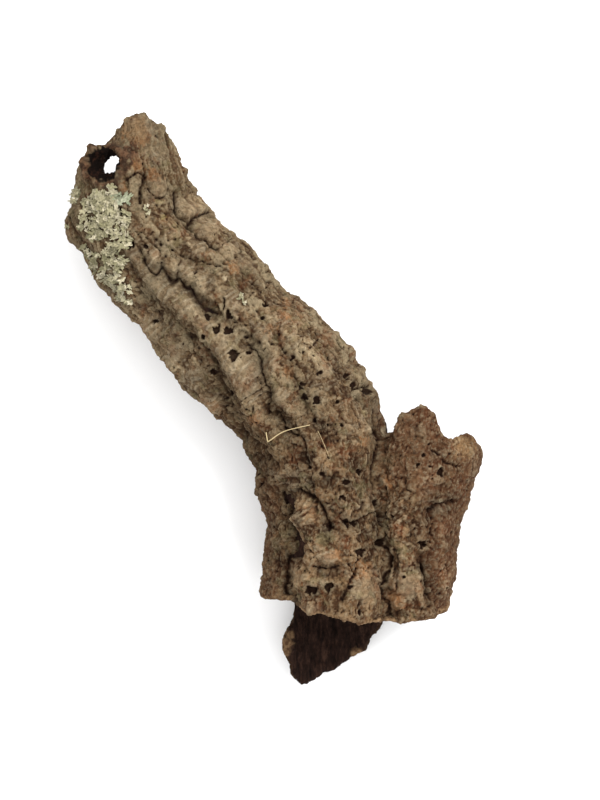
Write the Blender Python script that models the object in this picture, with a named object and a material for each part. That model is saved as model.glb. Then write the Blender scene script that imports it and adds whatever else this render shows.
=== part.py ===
"""A piece of virgin cork bark: the hollow bark of a branch that bends out of a short length of limb.

The piece lies on its back on the plane z = 0. Looking down on it, the branch runs from its broken tip
(+Y, left) down to the flare at the sawn end (-Y), the bark of the limb stands beside the flare on the
right (+X), and a tongue of the back wall reaches past the sawn end. Three lichens and two lichen flecks
grow on it, and two dry grass straws are caught on it. Metres, +Z up.
"""

import math

import bpy
import bmesh
from mathutils import Vector, geometry, noise
from mathutils.bvhtree import BVHTree

# ---- driving dimensions -------------------------------------------------------------------------
WALL = 0.0060, 0.0094  # thickness of the bark at the branch's tip and at the sawn end
AROUND = 72  # points round each cross-section
STEPS = 4  # cross-sections for each station
VOXEL = 0.0021  # grain of the blended shell
TRIANGLES = 10600  # of the finished shell
SOFTENING = 3  # rounds of smoothing after the shell is blended
TONGUE_TOP = 0.0235  # below this height the back wall was broken, not sawn
BELOW, ABOVE, FAR = -0.10, 0.20, 0.30  # reach of the cutting blocks

# Relief of the outside: height, width across the tube and length along it.
RIDGE_HEIGHT, RIDGE_WIDTH, RIDGE_LENGTH = 0.0020, 0.011, 0.045
LUMP_HEIGHT, LUMP_SIZE = 0.0016, 0.021
VALLEY_FADE = 0.012  # a valley comes in over this height above its lowest z

# Cross-sections of the branch from its tip to past the sawn end: the left and right edge as seen from
# above, then the lowest and highest z.
BRANCH = [
    ((-0.090, 0.180), (-0.068, 0.179), 0.036, 0.060),
    ((-0.0965, 0.167), (-0.0625, 0.166), 0.027, 0.065),
    ((-0.1000, 0.157), (-0.0595, 0.156), 0.020, 0.068),
    ((-0.1110, 0.148), (-0.0570, 0.147), 0.014, 0.070),
    ((-0.1175, 0.139), (-0.0510, 0.1385), 0.009, 0.072),
    ((-0.1195, 0.123), (-0.0485, 0.131), 0.005, 0.073),
    ((-0.1268, 0.1035), (-0.0460, 0.1255), 0.001, 0.074),
    ((-0.1170, 0.0885), (-0.0410, 0.1190), -0.001, 0.075),
    ((-0.1065, 0.0720), (-0.0335, 0.1110), -0.002, 0.076),
    ((-0.0935, 0.0575), (-0.0230, 0.1020), -0.001, 0.077),
    ((-0.0805, 0.0455), (-0.0125, 0.0915), 0.001, 0.078),
    ((-0.0720, 0.0320), (-0.0035, 0.0800), 0.003, 0.079),
    ((-0.0620, 0.0190), (0.0080, 0.0670), 0.004, 0.080),
    ((-0.0505, 0.0050), (0.0175, 0.0615), 0.005, 0.081),
    ((-0.0375, -0.0050), (0.0310, 0.0485), 0.006, 0.082),
    ((-0.0265, -0.0170), (0.0430, 0.0355), 0.006, 0.083),
    ((-0.0175, -0.0290), (0.0520, 0.0225), 0.005, 0.083),
    ((-0.0110, -0.0410), (0.0590, 0.0095), 0.004, 0.084),
    ((-0.0098, -0.0500), (0.0640, -0.0040), 0.003, 0.084),
    ((-0.0085, -0.0600), (0.0685, -0.0180), 0.001, 0.085),
    ((-0.0055, -0.0720), (0.0720, -0.0420), 0.000, 0.085),
    ((-0.0050, -0.0860), (0.0760, -0.0760), -0.001, 0.086),
    ((-0.0070, -0.1030), (0.0800, -0.1020), -0.002, 0.087),
    ((-0.0090, -0.1220), (0.0840, -0.1220), -0.002, 0.088),
    ((-0.0050, -0.1500), (0.0840, -0.1500), -0.001, 0.088),
    ((0.0000, -0.1880), (0.0820, -0.1880), -0.001, 0.088),
]

# Cross-sections of the limb, from above its broken top to past the sawn end.
LIMB = [
    ((0.0560, 0.0260), (0.1290, 0.0260), 0.004, 0.070),
    ((0.0550, -0.0140), (0.1280, -0.0140), 0.002, 0.072),
    ((0.0540, -0.0360), (0.1260, -0.0360), 0.001, 0.073),
    ((0.0520, -0.0500), (0.1200, -0.0500), 0.000, 0.074),
    ((0.0500, -0.0660), (0.1160, -0.0660), -0.001, 0.075),
    ((0.0470, -0.0820), (0.1120, -0.0820), -0.001, 0.076),
    ((0.0430, -0.0980), (0.1105, -0.0980), -0.002, 0.076),
    ((0.0390, -0.1140), (0.1085, -0.1140), -0.002, 0.077),
    ((0.0350, -0.1450), (0.1020, -0.1450), -0.002, 0.077),
]

# Valleys wide enough to shape the shell: points seen from above, depth, half width, lowest z they reach.
VALLEYS = [
    ([(-0.077, 0.086), (-0.063, 0.076), (-0.051, 0.070), (-0.037, 0.055), (-0.014, 0.035),
      (-0.006, 0.025), (-0.003, 0.011), (-0.002, -0.003), (0.008, -0.012)], 0.0032, 0.0045, 0.035),
    ([(-0.049, 0.037), (-0.034, 0.025), (-0.032, 0.014), (-0.025, -0.003), (-0.019, -0.023)],
     0.0028, 0.0045, 0.035),
    ([(-0.066, 0.096), (-0.050, 0.085), (-0.030, 0.080), (-0.016, 0.068)], 0.0022, 0.0035, 0.035),
    ([(0.060, -0.013), (0.061, -0.057), (0.067, -0.065), (0.065, -0.078), (0.067, -0.100),
      (0.065, -0.118), (0.067, -0.140)], 0.0034, 0.0035, 0.030),
    ([(0.006, -0.056), (0.0095, -0.064), (0.011, -0.078), (0.011, -0.090), (0.009, -0.104),
      (0.0095, -0.140)], 0.0070, 0.0045, 0.028),
]

# The knothole of a dead side shoot, near the tip: a stub that leans out over the branch's left edge.
KNOT_MOUTH = Vector((-0.0995, 0.1400, 0.0700))
KNOT_FLOOR = Vector((-0.0957, 0.1424, 0.0560))
KNOT_STUB = Vector((-0.1010, 0.1390, 0.0700)), Vector((-0.1000, 0.1400, 0.0380))
KNOT_STUB_RADIUS = 0.0130
KNOT_MOUTH_RADIUS = 0.0094
KNOT_FLOOR_RADIUS = 0.0041
KNOT_REACH = 0.25  # the funnel's cutter goes past both ends by this share of its length

# Outlines seen from above: where the limb's top is broken off, the end of the saw cut, and the tongue.
LIMB_TOP = [
    (0.0300, 0.0600), (0.0300, -0.0180), (0.0715, -0.0185), (0.0735, -0.0125), (0.0780, -0.0085),
    (0.0830, -0.0060), (0.0875, -0.0025), (0.0925, -0.0055), (0.0970, -0.0100), (0.0990, -0.0180),
    (0.1022, -0.0225), (0.1085, -0.0225), (0.1125, -0.0190), (0.1175, -0.0172), (0.1215, -0.0210),
    (0.1240, -0.0275), (0.1400, -0.0350), (0.1400, 0.0600),
]
SAWN = [
    (-0.1000, -0.1175), (0.0100, -0.1175), (0.0120, -0.1215), (0.0330, -0.1250), (0.0600, -0.1300),
    (0.0940, -0.1300), (0.1015, -0.1260), (0.1070, -0.1195), (0.2000, -0.1190), (0.2000, -0.2500),
    (-0.1000, -0.2500),
]
TONGUE = [
    (0.0120, -0.1000), (0.0120, -0.1350), (0.0075, -0.1418), (0.0050, -0.1480), (0.0045, -0.1545),
    (0.0095, -0.1604), (0.0100, -0.1668), (0.0138, -0.1735), (0.0180, -0.1768), (0.0228, -0.1738),
    (0.0300, -0.1698), (0.0388, -0.1674), (0.0458, -0.1609), (0.0562, -0.1547), (0.0590, -0.1482),
    (0.0650, -0.1422), (0.0690, -0.1340), (0.0690, -0.1000),
]
SHED = 0.25  # slope of the limb's broken top, whose back is broken off lower than its front
SHED_HEIGHT = 0.060  # height at which LIMB_TOP holds
CROTCH_Y = -0.032  # above this the branch's own wall stands between its hollow and the limb's

# Tip: the branch is broken off along a slope, so that its back wall ends before its front wall.
TIP_FRONT = Vector((-0.078, 0.1712, 0.062))
TIP_SLOPE = Vector((-0.2, 1.0, -1.1))

# Lichens: centre seen from above, two half widths, turn in degrees, number of lobes.
LICHENS = {
    "lichen_upper": ((-0.0965, 0.1150), 0.0145, 0.0080, 8, 7),
    "lichen_middle": ((-0.0975, 0.0960), 0.0150, 0.0080, -12, 8),
    "lichen_lower": ((-0.0925, 0.0740), 0.0150, 0.0065, -54, 6),
    "lichen_fleck_high": ((-0.0745, 0.1140), 0.0035, 0.0024, 30, 5),
    "lichen_fleck_low": ((-0.0175, 0.0590), 0.0045, 0.0026, -60, 5),
}
LOBE_DEPTH = 0.16  # how far the lobes stand out, as a share of the half width
SPOKES, RINGS = 4, 4  # points round each lobe, and rings of points in a leaf
LICHEN_GAP = 0.0012
LICHEN_THICK = 0.0014

# Straws: points seen from above.
STRAWS = {
    "grass_straw": [(-0.0037, -0.0180), (-0.0026, -0.0238), (0.0072, -0.0172), (0.0219, -0.0135)],
    "grass_fibre": [(0.0265, -0.0169), (0.0292, -0.0227), (0.0328, -0.0314)],
}
STRAW_RADIUS = 0.0005
STRAW_CLEAR = 0.0012
STRAW_CHECKS = 12  # places along each stretch where it has to clear the bark

# Materials: colour, roughness.
CORK = ((0.205, 0.148, 0.092, 1.0), 0.95)
LICHEN = ((0.480, 0.470, 0.320, 1.0), 0.95)
STRAW = ((0.520, 0.420, 0.260, 1.0), 0.70)


# ---- helpers ------------------------------------------------------------------------------------
def clear_scene():
    """Remove every object that the script starts with."""
    for obj in list(bpy.data.objects):
        bpy.data.objects.remove(obj)


def material(name, look):
    """A Principled material with a plain colour and roughness."""
    colour, roughness = look
    made = bpy.data.materials.new(name)
    made.use_nodes = True
    shader = made.node_tree.nodes["Principled BSDF"]
    shader.inputs["Base Color"].default_value = colour
    shader.inputs["Roughness"].default_value = roughness
    return made


def link(name, mesh):
    """An object of this mesh, in the scene."""
    obj = bpy.data.objects.new(name, mesh)
    bpy.context.scene.collection.objects.link(obj)
    return obj


def solid_from(name, points, faces):
    """A closed object of triangles from points and faces, turned outwards."""
    made = bmesh.new()
    verts = [made.verts.new(p) for p in points]
    for face in faces:
        made.faces.new([verts[i] for i in face])
    bmesh.ops.triangulate(made, faces=made.faces)
    bmesh.ops.recalc_face_normals(made, faces=made.faces)
    mesh = bpy.data.meshes.new(name)
    made.to_mesh(mesh)
    made.free()
    return link(name, mesh)


def baked(obj):
    """Replace obj's mesh by what its modifiers make of it."""
    graph = bpy.context.evaluated_depsgraph_get()
    mesh = bpy.data.meshes.new_from_object(obj.evaluated_get(graph))
    obj.modifiers.clear()
    obj.data = mesh
    return obj


def combine(target, tool, operation):
    """Join or cut target with tool by an exact Boolean, and remove the tool."""
    step = target.modifiers.new(operation.lower(), "BOOLEAN")
    step.operation = operation
    step.solver = "EXACT"
    step.object = tool
    baked(target)
    bpy.data.objects.remove(tool)
    return target


def catmull_rom(a, b, c, d, t):
    """The value between b and c, a share t of the way."""
    return 0.5 * (2 * b + (c - a) * t + (2 * a - 5 * b + 4 * c - d) * t * t
                  + (3 * b - a - 3 * c + d) * t * t * t)


def smooth_stations(stations):
    """STEPS cross-sections for each station, each as eight numbers on smooth curves."""
    rows = [(*left, *right, low, high) for left, right, low, high in stations]
    last = len(rows) - 1
    made = []
    for i in range(last):
        around = [rows[max(0, min(last, i + k))] for k in (-1, 0, 1, 2)]
        for step in range(STEPS):
            made.append([catmull_rom(*values, step / STEPS) for values in zip(*around)])
    return made + [list(rows[-1])]


def distance_to_line(point, line):
    """Distance seen from above between a point and a line of several points."""
    best = 1.0
    for a, b in zip(line, line[1:]):
        near, share = geometry.intersect_point_line(point, Vector(a), Vector(b))
        near = Vector(a).lerp(Vector(b), max(0.0, min(1.0, share)))
        best = min(best, (point - near).length)
    return best


def relief(point, along, across):
    """How far the bark stands out at a point: long ridges and lumps, less the valleys."""
    ridge = noise.noise(Vector((across.x / RIDGE_WIDTH, across.y / RIDGE_WIDTH, along / RIDGE_LENGTH)))
    lump = noise.noise(point / LUMP_SIZE)
    height = RIDGE_HEIGHT * ridge + LUMP_HEIGHT * lump
    for line, depth, half_width, lowest in VALLEYS:
        if point.z > lowest:
            share = distance_to_line(point.xy, line) / half_width
            fade = min(1.0, (point.z - lowest) / VALLEY_FADE)
            height -= depth * fade * math.exp(-share * share)
    return height


def loft(name, stations, first_inset=0.0, last_inset=0.0):
    """A closed tube through the stations. Insets, at both its ends, make the smooth cavity in the bark."""
    points = []
    along = 0.0
    before = None
    rows = smooth_stations(stations)
    for i, (left_x, left_y, right_x, right_y, low, high) in enumerate(rows):
        inset = first_inset + (last_inset - first_inset) * i / (len(rows) - 1)
        left = Vector((left_x, left_y, 0.0))
        right = Vector((right_x, right_y, 0.0))
        centre = (left + right) / 2 + Vector((0.0, 0.0, (low + high) / 2))
        side = (right - left).normalized()
        half = (right - left).length / 2 - inset
        tall = (high - low) / 2 - inset
        along += (centre - before).length if before else 0.0
        before = centre
        for j in range(AROUND):
            turn = 2 * math.pi * j / AROUND
            across = Vector((half * math.cos(turn), tall * math.sin(turn)))
            point = centre + side * across.x + Vector((0.0, 0.0, across.y))
            if not first_inset:
                out = (side * math.cos(turn) + Vector((0.0, 0.0, math.sin(turn)))).normalized()
                point += out * relief(point, along, across)
            points.append(point)
    rings = len(points) // AROUND
    faces = [list(range(AROUND)), list(range(len(points) - AROUND, len(points)))]
    for i in range(rings - 1):
        for j in range(AROUND):
            k = (j + 1) % AROUND
            faces.append([i * AROUND + j, i * AROUND + k,
                          (i + 1) * AROUND + k, (i + 1) * AROUND + j])
    return solid_from(name, points, faces)


def prism(name, outline, low, high, slope=0.0, level=0.0):
    """An outline seen from above, drawn between two heights. It holds at the level; a slope moves it
    along Y above and below that."""
    points = [Vector((x, y + slope * (z - level), z)) for z in (low, high) for x, y in outline]
    count = len(outline)
    faces = [list(range(count)), list(range(count, 2 * count))]
    faces += [[i, (i + 1) % count, count + (i + 1) % count, count + i] for i in range(count)]
    return solid_from(name, points, faces)


def box(name, low, high):
    """A box between two corners."""
    outline = [(low[0], low[1]), (high[0], low[1]), (high[0], high[1]), (low[0], high[1])]
    return prism(name, outline, low[2], high[2])


def cone(name, start, start_radius, end, end_radius, sides=28):
    """A closed cone frustum from start to end."""
    axis = (end - start).normalized()
    first = axis.orthogonal().normalized()
    second = axis.cross(first)
    points = []
    for centre, radius in ((start, start_radius), (end, end_radius)):
        for j in range(sides):
            turn = 2 * math.pi * j / sides
            points.append(centre + (first * math.cos(turn) + second * math.sin(turn)) * radius)
    faces = [list(range(sides)), list(range(sides, 2 * sides))]
    faces += [[j, (j + 1) % sides, sides + (j + 1) % sides, sides + j] for j in range(sides)]
    return solid_from(name, points, faces)


# ---- the bark -----------------------------------------------------------------------------------
def outer_form():
    """The outside of the branch, the limb with its broken top, and the knot's stub, as one solid."""
    form = loft("cork_bark", BRANCH)
    limb = loft("limb", LIMB)
    combine(limb, prism("limb_top", LIMB_TOP, BELOW, ABOVE, SHED, SHED_HEIGHT), "DIFFERENCE")
    combine(form, limb, "UNION")
    top, base = KNOT_STUB
    stub = cone("stub", top, KNOT_STUB_RADIUS, base, KNOT_STUB_RADIUS)
    return combine(form, stub, "UNION")


def cavity():
    """The hollow inside the branch and the limb; it keeps clear of the branch's wall at the crotch."""
    limb_hollow = loft("limb_hollow", LIMB, WALL[1], WALL[1])
    wall = loft("crotch_wall", BRANCH)
    combine(wall, box("below", (-FAR, -FAR, BELOW), (FAR, CROTCH_Y, ABOVE)), "DIFFERENCE")
    combine(limb_hollow, wall, "DIFFERENCE")
    return combine(loft("hollow", BRANCH, *WALL), limb_hollow, "UNION")


def knothole():
    """The funnel that runs from the knot's mouth into the hollow."""
    past = (KNOT_FLOOR - KNOT_MOUTH) * KNOT_REACH
    wider = (KNOT_MOUTH_RADIUS - KNOT_FLOOR_RADIUS) * KNOT_REACH
    return cone("knothole", KNOT_MOUTH - past, KNOT_MOUTH_RADIUS + wider,
                KNOT_FLOOR + past, KNOT_FLOOR_RADIUS)


def tip_break():
    """A block whose sloping face breaks off the tip."""
    slope = TIP_SLOPE.normalized()
    side = Vector((1.0, 0.0, 0.0))
    up = side.cross(slope)
    points = []
    for depth in (0.0, ABOVE):
        for x, y in ((-1, -1), (1, -1), (1, 1), (-1, 1)):
            points.append(TIP_FRONT + slope * depth + side * x * ABOVE + up * y * ABOVE)
    faces = [[0, 1, 2, 3], [4, 5, 6, 7], [0, 1, 5, 4], [1, 2, 6, 5], [2, 3, 7, 6], [3, 0, 4, 7]]
    return solid_from("tip_break", points, faces)


def sawn_off():
    """All that lies past the saw cut, less the tongue."""
    past = prism("sawn", SAWN, BELOW, ABOVE)
    return combine(past, prism("tongue", TONGUE, BELOW, TONGUE_TOP), "DIFFERENCE")


def blended(obj):
    """Blend the sharp joins of a shell and thin its mesh out to TRIANGLES."""
    remesh = obj.modifiers.new("blend", "REMESH")
    remesh.mode = "VOXEL"
    remesh.voxel_size = VOXEL
    smooth = obj.modifiers.new("soften", "SMOOTH")
    smooth.factor = 0.5
    smooth.iterations = SOFTENING
    baked(obj)
    faces = sum(len(p.vertices) - 2 for p in obj.data.polygons)
    thin = obj.modifiers.new("thin", "DECIMATE")
    thin.ratio = TRIANGLES / faces
    return baked(obj)


def bark():
    """The finished shell, flat where it bears on the ground."""
    shell = outer_form()
    combine(shell, cavity(), "DIFFERENCE")
    combine(shell, knothole(), "DIFFERENCE")
    combine(shell, tip_break(), "DIFFERENCE")
    combine(shell, sawn_off(), "DIFFERENCE")
    blended(shell)
    return combine(shell, box("ground", (-FAR, -FAR, BELOW), (FAR, FAR, 0.0)), "DIFFERENCE")


# ---- what grows or lies on it -------------------------------------------------------------------
def surface_of(obj):
    """A function from a point seen from above to the place and slope of obj's top there."""
    tree = BVHTree.FromObject(obj, bpy.context.evaluated_depsgraph_get())

    def find(x, y):
        place, slope, _, _ = tree.ray_cast(Vector((x, y, ABOVE)), Vector((0.0, 0.0, -1.0)))
        return place, slope

    return find


def lichen(name, find, centre, wide, high, turn, lobes):
    """A thin lobed leaf that follows the bark a hair above it."""
    spokes, rings = lobes * SPOKES, RINGS
    turn = math.radians(turn)
    outline = []
    for j in range(spokes):
        angle = 2 * math.pi * j / spokes
        reach = 1.0 + LOBE_DEPTH * math.cos(lobes * angle)
        x, y = wide * reach * math.cos(angle), high * reach * math.sin(angle)
        outline.append((x * math.cos(turn) - y * math.sin(turn),
                        x * math.sin(turn) + y * math.cos(turn)))
    plan = [(0.0, 0.0)]
    for ring in range(1, rings + 1):
        plan += [(x * ring / rings, y * ring / rings) for x, y in outline]
    under, over = [], []
    for x, y in plan:
        place, slope = find(centre[0] + x, centre[1] + y)
        under.append(place + slope * LICHEN_GAP)
        over.append(place + slope * (LICHEN_GAP + LICHEN_THICK))
    count = len(plan)
    faces = []
    for j in range(spokes):
        k = (j + 1) % spokes
        faces.append([0, 1 + j, 1 + k])
        for ring in range(rings - 1):
            a, b = 1 + ring * spokes, 1 + (ring + 1) * spokes
            faces.append([a + j, b + j, b + k])
            faces.append([a + j, b + k, a + k])
    faces += [[i + count for i in face] for face in faces]
    edge = 1 + (rings - 1) * spokes
    for j in range(spokes):
        k = (j + 1) % spokes
        faces.append([edge + j, edge + k, edge + k + count, edge + j + count])
    return solid_from(name, under + over, faces)


def straw(name, find, plan):
    """A dry straw that lies across the ridges: each stretch clears the highest bark below it."""
    def clear_height(a, b):
        shares = [i / STRAW_CHECKS for i in range(STRAW_CHECKS + 1)]
        spots = [(a[0] + (b[0] - a[0]) * s, a[1] + (b[1] - a[1]) * s) for s in shares]
        return max(find(*spot)[0].z for spot in spots) + STRAW_RADIUS + STRAW_CLEAR

    over = [clear_height(a, b) for a, b in zip(plan, plan[1:])]
    heights = [over[0]] + [max(pair) for pair in zip(over, over[1:])] + [over[-1]]
    curve = bpy.data.curves.new(name, "CURVE")
    curve.dimensions = "3D"
    curve.bevel_depth = STRAW_RADIUS
    curve.bevel_resolution = 1
    curve.use_fill_caps = True
    line = curve.splines.new("POLY")
    line.points.add(len(plan) - 1)
    for point, (x, y), z in zip(line.points, plan, heights):
        point.co = (x, y, z, 1.0)
    return link(name, curve)


def centre_on_origin(objects, shell):
    """Move every object alike, so that the shell's box is centred over the origin."""
    xs = [v.co.x for v in shell.data.vertices]
    ys = [v.co.y for v in shell.data.vertices]
    shift = Vector((-(min(xs) + max(xs)) / 2, -(min(ys) + max(ys)) / 2, 0.0))
    for obj in objects:
        if obj.type == "MESH":
            obj.data.transform(obj.matrix_world.Translation(shift))
        else:
            for point in obj.data.splines[0].points:
                point.co = (*(Vector(point.co[:3]) + shift), 1.0)


def main():
    """Build the bark and what is on it."""
    clear_scene()
    shell = bark()
    shell.data.materials.append(material("cork", CORK))
    find = surface_of(shell)
    pieces = [shell]
    green = material("lichen", LICHEN)
    for name, (centre, wide, high, turn, lobes) in LICHENS.items():
        piece = lichen(name, find, centre, wide, high, turn, lobes)
        piece.data.materials.append(green)
        pieces.append(piece)
    dry = material("straw", STRAW)
    for name, plan in STRAWS.items():
        piece = straw(name, find, plan)
        piece.data.materials.append(dry)
        pieces.append(piece)
    centre_on_origin(pieces, shell)


main()
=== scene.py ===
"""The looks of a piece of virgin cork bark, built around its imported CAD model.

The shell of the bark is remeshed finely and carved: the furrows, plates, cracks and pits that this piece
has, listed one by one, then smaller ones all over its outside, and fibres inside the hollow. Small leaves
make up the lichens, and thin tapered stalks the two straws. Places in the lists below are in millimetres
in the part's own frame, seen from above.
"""

import math
import random

import bmesh
import bpy
import numpy as np
from mathutils import Matrix, Vector
from mathutils.bvhtree import BVHTree


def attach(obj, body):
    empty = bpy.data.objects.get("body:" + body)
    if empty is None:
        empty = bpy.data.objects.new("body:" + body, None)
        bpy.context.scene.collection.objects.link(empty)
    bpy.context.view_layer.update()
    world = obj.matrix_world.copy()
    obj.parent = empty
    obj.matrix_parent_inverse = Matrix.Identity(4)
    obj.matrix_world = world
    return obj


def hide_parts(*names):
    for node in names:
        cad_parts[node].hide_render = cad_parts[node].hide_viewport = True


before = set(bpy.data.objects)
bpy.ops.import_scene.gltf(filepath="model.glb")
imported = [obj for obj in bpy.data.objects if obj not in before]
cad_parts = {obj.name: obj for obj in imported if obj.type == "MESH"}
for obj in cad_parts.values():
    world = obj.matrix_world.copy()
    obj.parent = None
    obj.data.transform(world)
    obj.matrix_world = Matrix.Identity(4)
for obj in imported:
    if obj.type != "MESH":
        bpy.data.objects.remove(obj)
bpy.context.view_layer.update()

# ---- camera and light ----
CAMERA = (0.0159, 0.0028, 1.150)
LENS = 82.5
CLIP_END = 20
SHEEN = 0.06
FLOOR_SIZE = 6.0
FILL_STRENGTH = 1.35
# Each light: its place, where it aims, its size and its power.
KEY_LIGHT = ((0.6, 0.52, 1.05), (0, 0, 0.03), 0.6, 15.0)
OVERHEAD_LIGHT = ((0.05, 0.10, 1.8), (0, 0, 0), 2.4, 8.0)

# ---- the shell's mesh ----
MM = 1000.0
VOXEL = 0.0012
SMOOTHINGS, LAST_SMOOTHINGS = 7, 2
TOP_SLOPE = 0.12  # faces that look up more than this are made twice as fine
TONGUE_Y, TONGUE_TOP = -118, 27  # the tongue's upper side is made fine as well

# Middle lines of the two tubes, from the tip to the sawn end: x, y, z and the radius there.
BRANCH_LINE = [
    (-78, 215, 50, 12), (-79, 181, 48, 12), (-84, 149, 42, 28), (-84, 129, 39, 36), (-79, 106, 37, 40),
    (-58, 82, 38, 42), (-38, 58, 41, 41), (-17, 35, 43, 40), (8, 11, 44, 40), (24, -14, 44, 40),
    (30, -37, 43, 41), (35, -79, 43, 42), (37, -120, 43, 45), (41, -200, 43, 45),
]
LIMB_LINE = [
    (92, 60, 37, 35), (91, -12, 37, 35), (90, -34, 37, 35), (83, -64, 37, 34), (77, -96, 37, 35),
    (68, -143, 37, 35), (60, -200, 37, 35),
]
SEAM = 0.25  # where the two tubes are this close, a face that looks out of either is outside
CROTCH = (69, -20)  # the limb's own surface is right of this or below it
# For the patterns the branch's radius is at least THIN_GIRTH, the limb's is LIMB_GIRTH, and the limb's
# length is counted from LIMB_START, which gives the limb patterns of its own.
THIN_GIRTH, LIMB_GIRTH, LIMB_START = 25, 33, 700

# Furrows and cracks: the line seen from above, the crack's half width and depth, how deep the wide
# valley round it is, and how far its left side leans over it (below 0, the right side does).
LINES = [
    # the main valley, under a row of lobes, and the crack that goes on from it
    ([(-77, 90), (-73, 80), (-69, 77), (-65, 80), (-60, 74), (-54, 74), (-51, 70), (-48, 68), (-44, 63),
      (-40, 58), (-36, 56)], 1.3, 2.2, 2.8, 1.1),
    ([(-36, 56), (-30, 52), (-19, 46), (-11, 36)], 0.5, 0.6, 1.6, 0),
    ([(-14, 36), (-7, 28), (-6, 20), (-3, 12), (-2, 5), (-2, -4), (4, -5), (7, -13)], 1.1, 1.9, 2, 0.8),
    ([(7, -13), (12, -17), (16, -18), (19, -22), (19, -30), (21, -34)], 0.9, 2, 1.2, 0.4),
    # the soft valley left of it
    ([(-86, 86), (-81, 74), (-73, 62), (-59, 50), (-49, 40)], 0.5, 0.5, 2.6, 0),
    ([(-49, 40), (-41, 34), (-35, 27), (-32, 17), (-26, 0), (-20, -15), (-14, -21), (-7, -26), (2, -34)],
     1.2, 1.4, 2.3, 0.3),
    # above the row of lobes, then between calm ridges and the rough right side
    ([(-65, 96), (-58, 91), (-50, 87), (-43, 85), (-31, 82)], 0.8, 1.2, 1.2, 0.4),
    ([(-31, 82), (-21, 73), (-13, 61), (-6, 51), (1, 41), (7, 32), (12, 21), (16, 10), (22, -4),
      (29, -19)], 0.7, 0.9, 1.4, 0),
    ([(-74, 99), (-71, 97), (-67, 92), (-66, 87)], 0.8, 1.6, 0.4, 0.4),
    # round the plates of the right edge
    ([(-38, 117), (-42, 115), (-47, 111), (-48, 106), (-44, 101), (-38, 97), (-32, 94)],
     1.4, 3.4, 1.8, 0.8),
    ([(-57, 127), (-57, 118), (-55, 113), (-51, 111)], 1.4, 3.4, 1.6, 0.6),
    ([(-35, 95), (-28, 87), (-19, 81), (-11, 71), (-3, 64)], 0.6, 0.8, 1, 0.4),
    ([(-73, 127), (-71, 124), (-65, 123), (-62, 127), (-62, 134)], 0.6, 1.6, 0.5, 0.7),
    ([(-24, 100), (-30, 94), (-25, 89)], 0.5, 1.2, 0.3, 0.4),
    ([(-18, 92), (-22, 87)], 0.5, 1.2, 0.2, 0),
    ([(0, 74), (-9, 74), (-12, 71)], 0.5, 1.4, 0.3, 0.3),
    ([(-2, 72), (-6, 68)], 0.6, 1.6, 0.2, 0),
    # from the knothole down
    ([(-86, 133), (-80, 136), (-75, 135), (-78, 126), (-78, 119)], 1, 2.4, 0.8, 0),
    # between the lobes of that row
    ([(-67, 79), (-65, 84), (-63, 88)], 0.8, 1.2, 0.7, 0),
    ([(-57, 75), (-55, 81), (-53, 85)], 0.8, 1.2, 0.7, 0),
    ([(-49, 69), (-46, 76), (-44, 80)], 0.8, 1.2, 0.7, 0),
    ([(-42, 61), (-38, 70), (-35, 74)], 0.7, 1, 0.6, 0),
    # cracks across the ridges
    ([(-29, 62), (-29, 56)], 1, 2.4, 0, 0.4),
    ([(-19, 2), (-4, 11)], 0.5, 1.3, 0.3, 0.3),
    ([(-17, 0), (-3, 8)], 0.4, 0.8, 0, 0),
    ([(-6, 31), (2, 36), (8, 31)], 0.5, 0.8, 0.3, 0),
    ([(7, 18), (14, 16), (16, 10)], 0.6, 1, 0.3, 0),
    ([(15, 37), (16, 31), (22, 33), (27, 39)], 0.6, 1.3, 0.2, 0),
    ([(32, 32), (35, 25), (41, 20), (45, 16)], 0.9, 1.8, 0.4, 0.5),
    ([(58, 11), (51, 10), (48, 7), (52, 3), (55, -3)], 1.1, 3.2, 1, 0.6),
    # where the branch and the limb meet
    ([(61, -3), (62, -22), (60, -39), (60, -52)], 0.8, 2, 1.4, 0),
    ([(61, -59), (64, -66), (63, -81), (67, -85), (68, -95), (64, -108), (68, -119), (67, -126)],
     1, 2.8, 0.8, 0),
    ([(88, -90), (89, -98), (92, -106), (91, -114)], 1, 1.9, 1.5, 0),
    ([(50, -90), (47, -98), (44, -105), (40, -112)], 1, 2, 1.3, 0),
    # the front lobe stands out over the left one
    ([(6, -53), (10, -58), (11, -65), (14, -75), (16, -85), (9, -91), (8, -101), (8, -110),
      (14, -119)], 1.4, 3, 1.6, 0.6),
    ([(15, -50), (23, -54), (29, -60), (32, -66), (33, -71)], 1.3, 3, 1.2, 0.2),
    ([(39, -66), (46, -69), (54, -65), (63, -61)], 0.8, 1.6, 0.6, 0.5),
    ([(33, -78), (42, -76), (51, -79)], 0.5, 0.8, 0.4, 0),
    ([(24, -94), (31, -95), (38, -94)], 1, 1.6, 1, 0.4),
    ([(-5, -57), (-1, -65), (-2, -78), (2, -89), (-1, -103)], 0.7, 1, 1, 0),
    # the limb
    ([(86, -91), (89, -96), (92, -108), (94, -115)], 0.9, 2, 1, 0.5),
    ([(94, -27), (103, -34), (111, -37)], 0.8, 1.8, 0.8, 0),
    ([(93, -62), (98, -59), (103, -58), (108, -57)], 1.6, 3.4, 1.6, 0.9),
    ([(93, -63), (94, -70), (92, -78)], 0.7, 1, 0.8, 0),
    ([(72, -88), (73, -97), (72, -109)], 0.6, 1, 0.8, 0),
]
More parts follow.
